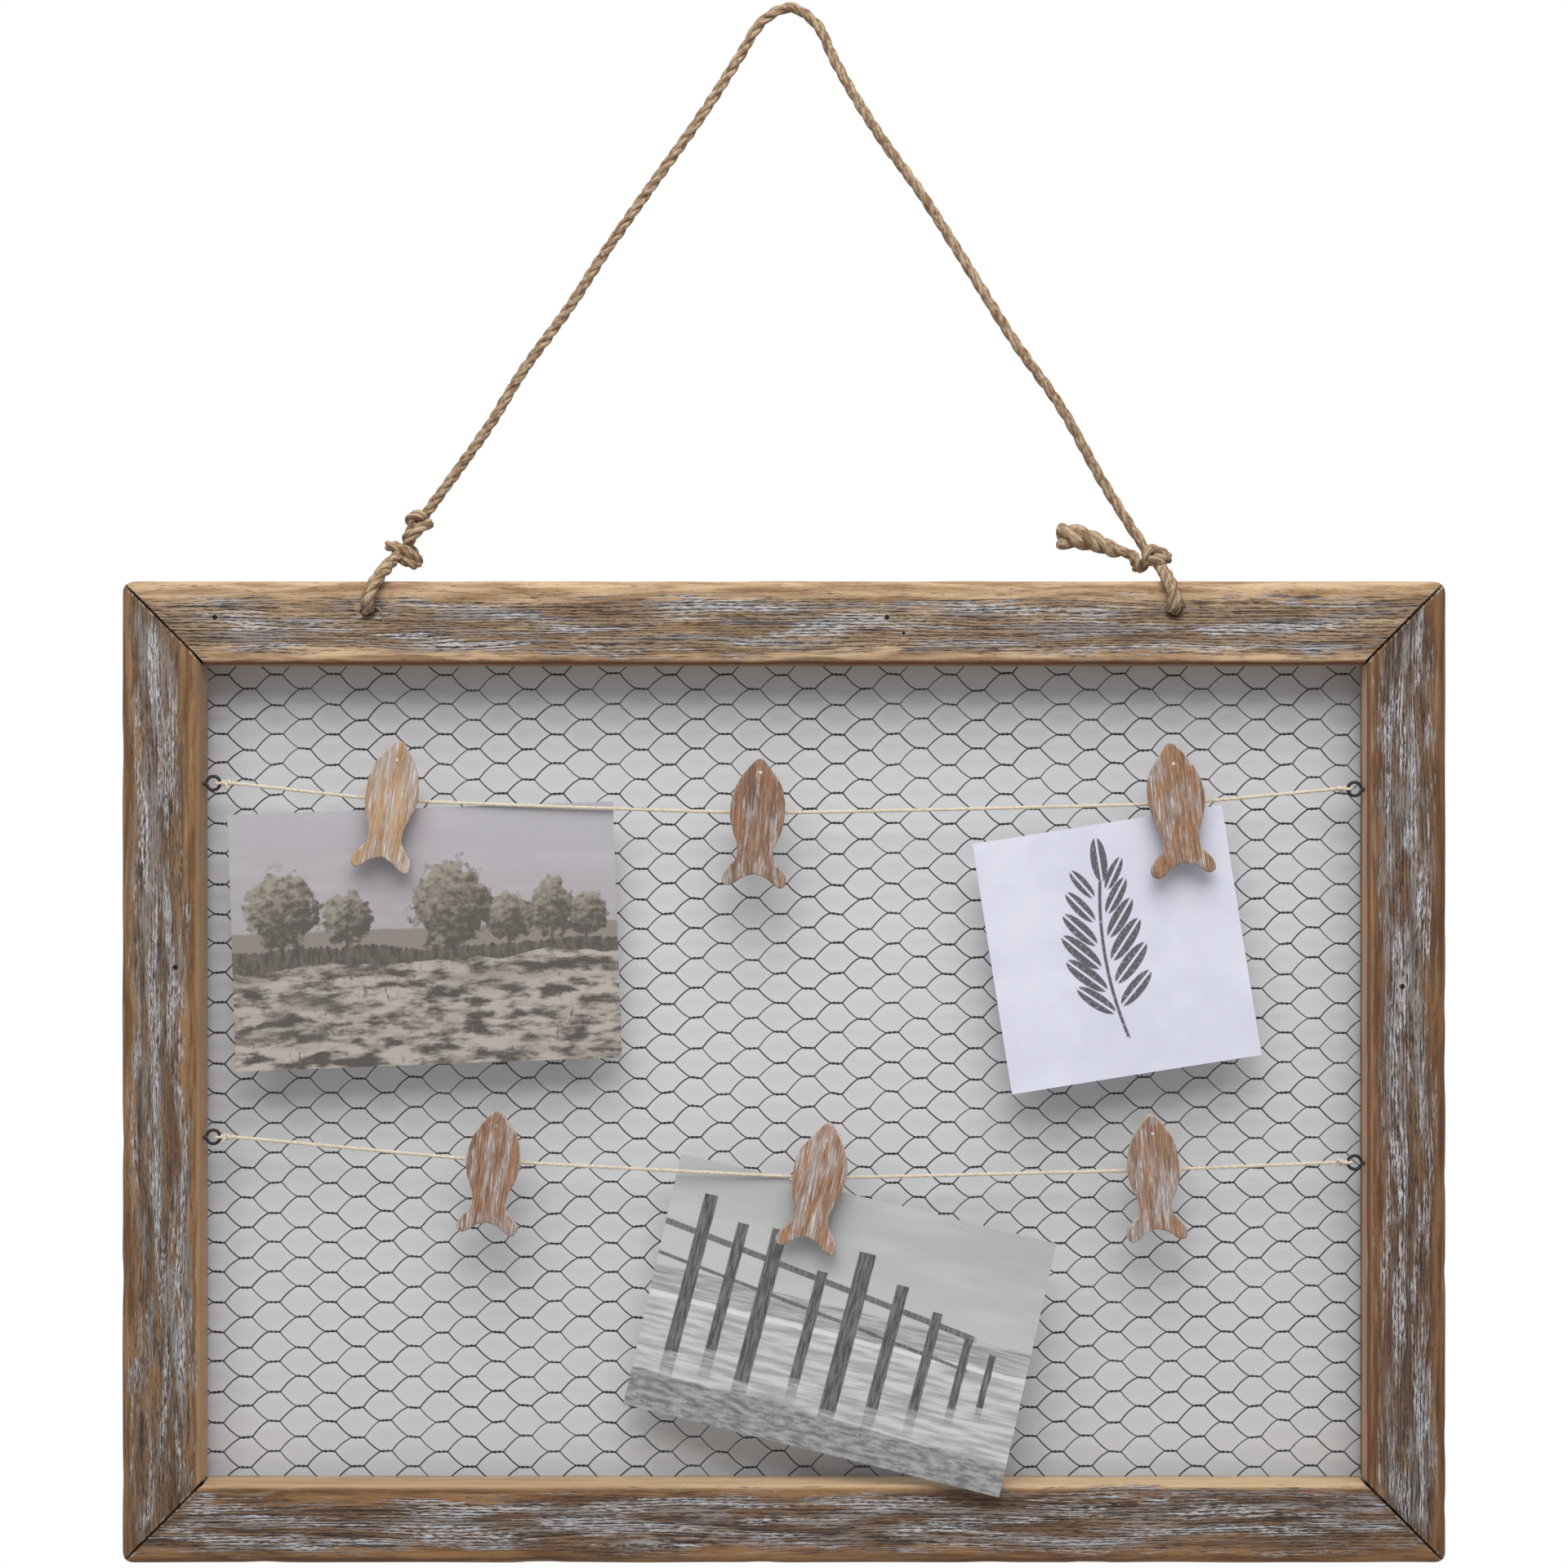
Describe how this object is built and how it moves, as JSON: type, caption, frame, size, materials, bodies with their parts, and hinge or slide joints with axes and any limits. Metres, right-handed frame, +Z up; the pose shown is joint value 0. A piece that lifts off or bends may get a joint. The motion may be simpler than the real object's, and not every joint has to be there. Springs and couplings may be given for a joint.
{
  "type": "wall picture frame",
  "caption": "Landscape wooden wall frame with a wire net back, cotton lines across the opening, fish-shaped pegs that hold sheets of paper, and a rope to hang it by.",
  "frame": {"origin": "underside of the rope's bend, where the nail in the wall carries it", "axes": "+Z up, +X to the right seen from the front, -Y out of the wall towards the viewer"},
  "size_m": [0.515, 0.0309, 0.6119],
  "materials": {
    "weathered_wood": "weathered and whitewashed, matt",
    "fish_wood": "brown stain with a worn white wash, matt",
    "peg_wood": "bare birch",
    "black_wire": "black, satin",
    "steel": "bright wire",
    "cotton": "twisted cotton string",
    "jute": "three-strand jute rope",
    "print_paper": "photo paper, semi-gloss",
    "card_paper": "white card, matt"
  },
  "bodies": {
    "frame": {"top_rail": "weathered_wood", "bottom_rail": "weathered_wood", "left_rail": "weathered_wood", "right_rail": "weathered_wood", "wire_net": "black_wire", "v_nail_1": "steel", "v_nail_2": "steel", "v_nail_3": "steel", "v_nail_4": "steel", "net_staple_1": "steel", "net_staple_2": "steel", "net_staple_3": "steel", "net_staple_4": "steel", "net_staple_5": "steel", "net_staple_6": "steel", "net_staple_7": "steel", "net_staple_8": "steel", "net_staple_9": "steel", "net_staple_10": "steel", "screw_eye_upper_left": "black_wire", "screw_eye_upper_right": "black_wire", "screw_eye_lower_left": "black_wire", "screw_eye_lower_right": "black_wire", "upper_line": "cotton", "lower_line": "cotton", "left_knot": "jute", "right_knot": "jute", "hanger_rope": "jute"},
    "clip_1": {"fish_1": "fish_wood", "peg_front_leg_1": "peg_wood", "peg_spring_1": "steel"},
    "clip_2": {"fish_2": "fish_wood", "peg_front_leg_2": "peg_wood", "peg_spring_2": "steel"},
    "clip_3": {"fish_3": "fish_wood", "peg_front_leg_3": "peg_wood", "peg_spring_3": "steel"},
    "clip_4": {"fish_4": "fish_wood", "peg_front_leg_4": "peg_wood", "peg_spring_4": "steel"},
    "clip_5": {"fish_5": "fish_wood", "peg_front_leg_5": "peg_wood", "peg_spring_5": "steel"},
    "clip_6": {"fish_6": "fish_wood", "peg_front_leg_6": "peg_wood", "peg_spring_6": "steel"},
    "jaw_1": {"peg_back_leg_1": "peg_wood"},
    "jaw_2": {"peg_back_leg_2": "peg_wood"},
    "jaw_3": {"peg_back_leg_3": "peg_wood"},
    "jaw_4": {"peg_back_leg_4": "peg_wood"},
    "jaw_5": {"peg_back_leg_5": "peg_wood"},
    "jaw_6": {"peg_back_leg_6": "peg_wood"},
    "left_sheet": {"print_left": "print_paper"},
    "right_sheet": {"card_right": "card_paper"},
    "lower_sheet": {"print_lower": "print_paper"}
  },
  "joints": [
    {"name": "clip_1_slide", "type": "slide", "parent": "frame", "child": "clip_1", "axis": [0.998, 0, -0.0638], "range_m": [-0.008, 0.012]},
    {"name": "clip_2_slide", "type": "slide", "parent": "frame", "child": "clip_2", "axis": [1, 0, -0.006], "range_m": [-0.012, 0.012]},
    {"name": "clip_3_slide", "type": "slide", "parent": "frame", "child": "clip_3", "axis": [0.9987, 0, 0.0502], "range_m": [-0.012, 0.012]},
    {"name": "clip_4_slide", "type": "slide", "parent": "frame", "child": "clip_4", "axis": [0.9977, 0, -0.0675], "range_m": [-0.012, 0.012]},
    {"name": "clip_5_slide", "type": "slide", "parent": "frame", "child": "clip_5", "axis": [0.9999, 0, -0.0143], "range_m": [-0.012, 0.012]},
    {"name": "clip_6_slide", "type": "slide", "parent": "frame", "child": "clip_6", "axis": [0.9996, 0, 0.0292], "range_m": [-0.012, 0.012]},
    {"name": "peg_1_hinge", "type": "hinge", "parent": "clip_1", "child": "jaw_1", "pos_m": [-0.15459, -0.01638, -0.30676], "axis": [0.9882, 0.0345, -0.1495], "range_deg": [0, 14], "stiffness_Nm_per_rad": 0.005, "springref_deg": -57.3, "deforming": ["peg_spring_1"]},
    {"name": "peg_2_hinge", "type": "hinge", "parent": "clip_2", "child": "jaw_2", "pos_m": [-0.01253, -0.0164, -0.31172], "axis": [0.9982, 0, -0.0593], "range_deg": [0, 14], "stiffness_Nm_per_rad": 0.005, "springref_deg": -57.3, "deforming": ["peg_spring_2"]},
    {"name": "peg_3_hinge", "type": "hinge", "parent": "clip_3", "child": "jaw_3", "pos_m": [0.14911, -0.0164, -0.308], "axis": [0.9938, 0, 0.1115], "range_deg": [0, 14], "stiffness_Nm_per_rad": 0.005, "springref_deg": -57.3, "deforming": ["peg_spring_3"]},
    {"name": "peg_4_hinge", "type": "hinge", "parent": "clip_4", "child": "jaw_4", "pos_m": [-0.11497, -0.0164, -0.44755], "axis": [0.9954, 0, -0.0958], "range_deg": [0, 14], "stiffness_Nm_per_rad": 0.005, "springref_deg": -57.3, "deforming": ["peg_spring_4"]},
    {"name": "peg_5_hinge", "type": "hinge", "parent": "clip_5", "child": "jaw_5", "pos_m": [0.01199, -0.01622, -0.45395], "axis": [0.9896, -0.082, -0.118], "range_deg": [0, 14], "stiffness_Nm_per_rad": 0.005, "springref_deg": -57.3, "deforming": ["peg_spring_5"]},
    {"name": "peg_6_hinge", "type": "hinge", "parent": "clip_6", "child": "jaw_6", "pos_m": [0.14052, -0.0164, -0.45111], "axis": [0.9983, 0, 0.0576], "range_deg": [0, 14], "stiffness_Nm_per_rad": 0.005, "springref_deg": -57.3, "deforming": ["peg_spring_6"]},
    {"name": "print_left_pull", "type": "slide", "parent": "clip_1", "child": "left_sheet", "axis": [0.0349, 0.0012, -0.9994], "range_m": [0, 0.01]},
    {"name": "card_right_pull", "type": "slide", "parent": "clip_3", "child": "right_sheet", "axis": [0.1547, 0, -0.988], "range_m": [0, 0.01]},
    {"name": "print_lower_pull", "type": "slide", "parent": "clip_5", "child": "lower_sheet", "axis": [-0.2243, -0.0304, -0.974], "range_m": [0, 0.01]}
  ]
}
